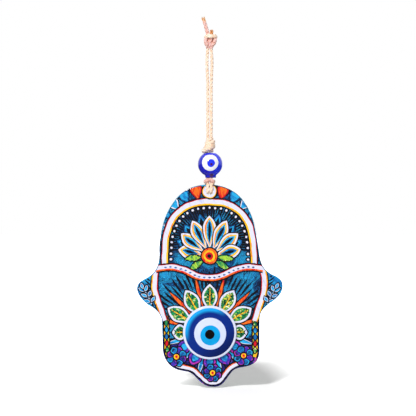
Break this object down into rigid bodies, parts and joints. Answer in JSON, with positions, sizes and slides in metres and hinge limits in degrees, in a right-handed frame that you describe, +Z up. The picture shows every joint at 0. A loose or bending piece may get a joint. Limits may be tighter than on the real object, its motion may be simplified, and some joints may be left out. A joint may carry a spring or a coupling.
{
  "type": "hamsa hand ornament",
  "caption": "Flat hand-shaped glass plate with a printed front and a round eye disc, hung on a doubled natural cord with a blue eye bead.",
  "frame": {"origin": "the place of the hook, between the two strands of the cord right under the top knot", "axes": "+Z up, the plate's printed front faces -Y, +X to the right of someone who looks at the front"},
  "size_m": [0.1081, 0.0186, 0.2747],
  "materials": {
    "cord": "twisted natural yarn, dull",
    "bead_blue_glass": "opaque ultramarine glass, glossy",
    "white_glass": "opaque white glass, glossy",
    "plate_glass": "clear plate glass, polished edge",
    "print": "printed colours under a clear gloss coat",
    "glue": "clear adhesive",
    "disc_blue_glass": "opaque deep blue glass, glossy",
    "disc_light_blue_glass": "opaque light blue glass, glossy",
    "black_glass": "opaque black glass, glossy"
  },
  "bodies": {
    "hook_end": {"cord_top_knot": "cord", "cord_tail_long": "cord", "cord_tail_short": "cord", "cord_eye_left": "cord", "cord_eye_right": "cord"},
    "cord_run": {"cord_run_left": "cord", "cord_run_right": "cord"},
    "knot": {"cord_lower_knot": "cord", "cord_core_left": "cord", "cord_core_right": "cord"},
    "bead": {"bead_body": "bead_blue_glass", "bead_white": "white_glass", "bead_iris": "bead_blue_glass"},
    "hand": {"cord_hitch": "cord", "hand_plate": "plate_glass", "printed_coat": "print", "eye_disc_glue": "glue", "eye_disc_rim": "white_glass", "eye_disc_blue": "disc_blue_glass", "eye_disc_white": "white_glass", "eye_disc_iris": "disc_light_blue_glass", "eye_disc_pupil": "black_glass"}
  },
  "joints": [
    {"name": "cord_swing", "type": "hinge", "parent": "hook_end", "child": "cord_run", "pos_m": [0, 0, -0.025], "axis": [1, 0, 0], "range_deg": [-60, 60]},
    {"name": "hand_sway", "type": "hinge", "parent": "cord_run", "child": "knot", "pos_m": [0, 0, -0.0688], "axis": [0, 1, 0], "range_deg": [-60, 60]},
    {"name": "bead_spin", "type": "hinge", "parent": "knot", "child": "bead", "pos_m": [0, 0, -0.088], "axis": [0, 0, 1], "continuous": true},
    {"name": "hand_turn", "type": "hinge", "parent": "knot", "child": "hand", "pos_m": [0, 0, -0.0968], "axis": [0, 0, 1], "range_deg": [-180, 180]}
  ]
}
